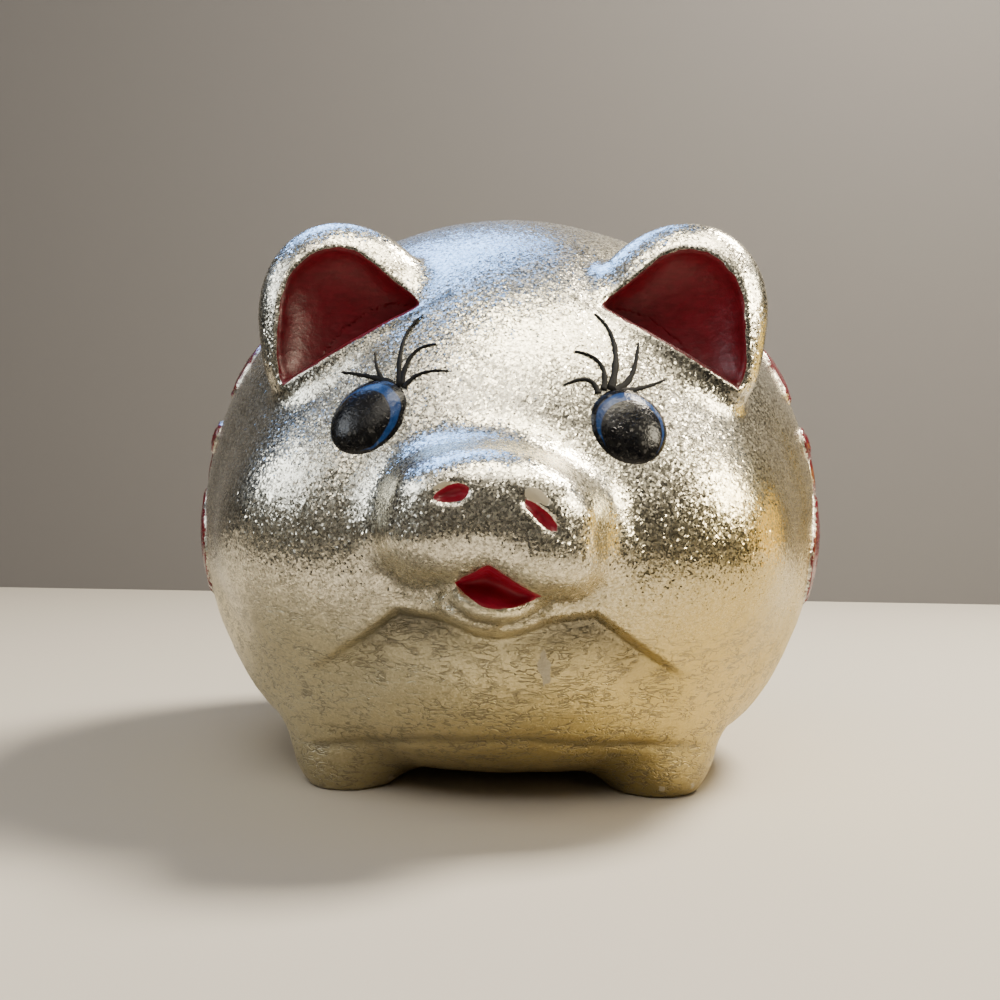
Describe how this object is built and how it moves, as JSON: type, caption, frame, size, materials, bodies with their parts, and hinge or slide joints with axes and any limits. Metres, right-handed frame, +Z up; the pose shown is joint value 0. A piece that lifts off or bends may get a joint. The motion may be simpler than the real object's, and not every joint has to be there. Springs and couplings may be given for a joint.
{
  "type": "piggy bank",
  "caption": "Round hollow pottery pig coin bank on four short feet, with a coin slot along its back and a rubber stopper in its belly.",
  "frame": {"origin": "on the ground plane under the middle of the box round the whole pig", "axes": "+Z up, the pig looks along -Y, its left side is towards +X"},
  "size_m": [0.1058, 0.1233, 0.0914],
  "materials": {
    "body_shell": "silver glitter lacquer over pottery",
    "tail": "silver glitter lacquer over pottery",
    "stopper": "matt black",
    "left_ear": "silver glitter lacquer over pottery",
    "left_eye": "gloss black and blue enamel",
    "left_blossom_centre": "gloss dark red enamel",
    "left_petal_1": "gloss dark red enamel",
    "left_petal_2": "gloss dark red enamel",
    "left_petal_3": "gloss dark red enamel",
    "left_petal_4": "gloss dark red enamel",
    "left_petal_5": "gloss dark red enamel",
    "left_lower_leaf": "gloss dark red enamel",
    "left_upper_leaf": "gloss dark red enamel",
    "left_bud": "gloss dark red enamel",
    "right_ear": "silver glitter lacquer over pottery",
    "right_eye": "gloss black and blue enamel",
    "right_blossom_centre": "gloss dark red enamel",
    "right_petal_1": "gloss dark red enamel",
    "right_petal_2": "gloss dark red enamel",
    "right_petal_3": "gloss dark red enamel",
    "right_petal_4": "gloss dark red enamel",
    "right_petal_5": "gloss dark red enamel",
    "right_lower_leaf": "gloss dark red enamel",
    "right_upper_leaf": "gloss dark red enamel",
    "right_bud": "gloss dark red enamel"
  },
  "bodies": {
    "pig": {"body_shell": "body_shell", "tail": "tail", "left_ear": "left_ear", "left_eye": "left_eye", "left_blossom_centre": "left_blossom_centre", "left_petal_1": "left_petal_1", "left_petal_2": "left_petal_2", "left_petal_3": "left_petal_3", "left_petal_4": "left_petal_4", "left_petal_5": "left_petal_5", "left_lower_leaf": "left_lower_leaf", "left_upper_leaf": "left_upper_leaf", "left_bud": "left_bud", "right_ear": "right_ear", "right_eye": "right_eye", "right_blossom_centre": "right_blossom_centre", "right_petal_1": "right_petal_1", "right_petal_2": "right_petal_2", "right_petal_3": "right_petal_3", "right_petal_4": "right_petal_4", "right_petal_5": "right_petal_5", "right_lower_leaf": "right_lower_leaf", "right_upper_leaf": "right_upper_leaf", "right_bud": "right_bud"},
    "belly_stopper": {"stopper": "stopper"}
  },
  "joints": [
    {"name": "stopper_pull", "type": "slide", "parent": "pig", "child": "belly_stopper", "axis": [0, 0, -1], "range_m": [0, 0.03]}
  ]
}
